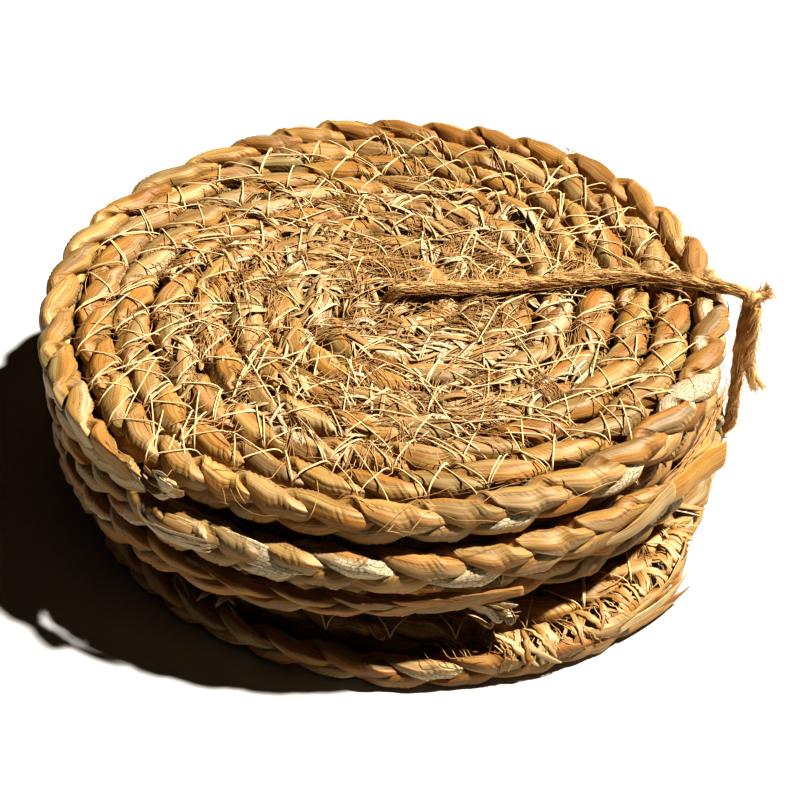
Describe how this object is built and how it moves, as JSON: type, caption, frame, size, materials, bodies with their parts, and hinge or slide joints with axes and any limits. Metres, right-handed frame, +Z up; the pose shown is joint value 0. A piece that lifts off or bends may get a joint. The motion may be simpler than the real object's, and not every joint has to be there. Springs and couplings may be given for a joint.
{
  "type": "stack of round plaited rush mats",
  "caption": "Bundle of round flat mats, each a three-strand rush plait wound in a sewn spiral, stacked and tied through the middle and over one side with jute twine.",
  "frame": {"origin": "middle of the bundle's bounding box, at the height of the surface that it lies on", "axes": "+Z up, +X towards the side where the twine is knotted, -Y towards the edge where the upper mats stand clear of the bottom one"},
  "size_m": [0.1902, 0.1846, 0.0494],
  "materials": {
    "rush_leaf": "dry plaited leaf, satin, veined, golden tan with honey, olive and straw patches",
    "thread": "pale waxed sewing thread",
    "jute": "hairy golden-brown jute"
  },
  "bodies": {
    "bottom_mat": {"mat_1_strand_a": "rush_leaf", "mat_1_strand_b": "rush_leaf", "mat_1_strand_c": "rush_leaf", "mat_1_thread": "thread", "twine_loop": "jute", "twine_knot": "jute", "twine_long_tail": "jute", "twine_short_tail": "jute"},
    "lower_middle_mat": {"mat_2_strand_a": "rush_leaf", "mat_2_strand_b": "rush_leaf", "mat_2_strand_c": "rush_leaf", "mat_2_thread": "thread"},
    "upper_middle_mat": {"mat_3_strand_a": "rush_leaf", "mat_3_strand_b": "rush_leaf", "mat_3_strand_c": "rush_leaf", "mat_3_thread": "thread"},
    "top_mat": {"mat_4_strand_a": "rush_leaf", "mat_4_strand_b": "rush_leaf", "mat_4_strand_c": "rush_leaf", "mat_4_thread": "thread"}
  },
  "joints": [
    {"name": "lower_middle_mat_turn", "type": "hinge", "parent": "bottom_mat", "child": "lower_middle_mat", "pos_m": [-0.0049, -0.0018, 0.01341], "axis": [0, 0.0279, 0.9996], "continuous": true},
    {"name": "upper_middle_mat_turn", "type": "hinge", "parent": "bottom_mat", "child": "upper_middle_mat", "pos_m": [-0.0051, 0.001, 0.02424], "axis": [0, 0.0279, 0.9996], "continuous": true},
    {"name": "top_mat_turn", "type": "hinge", "parent": "bottom_mat", "child": "top_mat", "pos_m": [-0.0052, 0.0022, 0.03511], "axis": [0, 0.0279, 0.9996], "continuous": true}
  ]
}
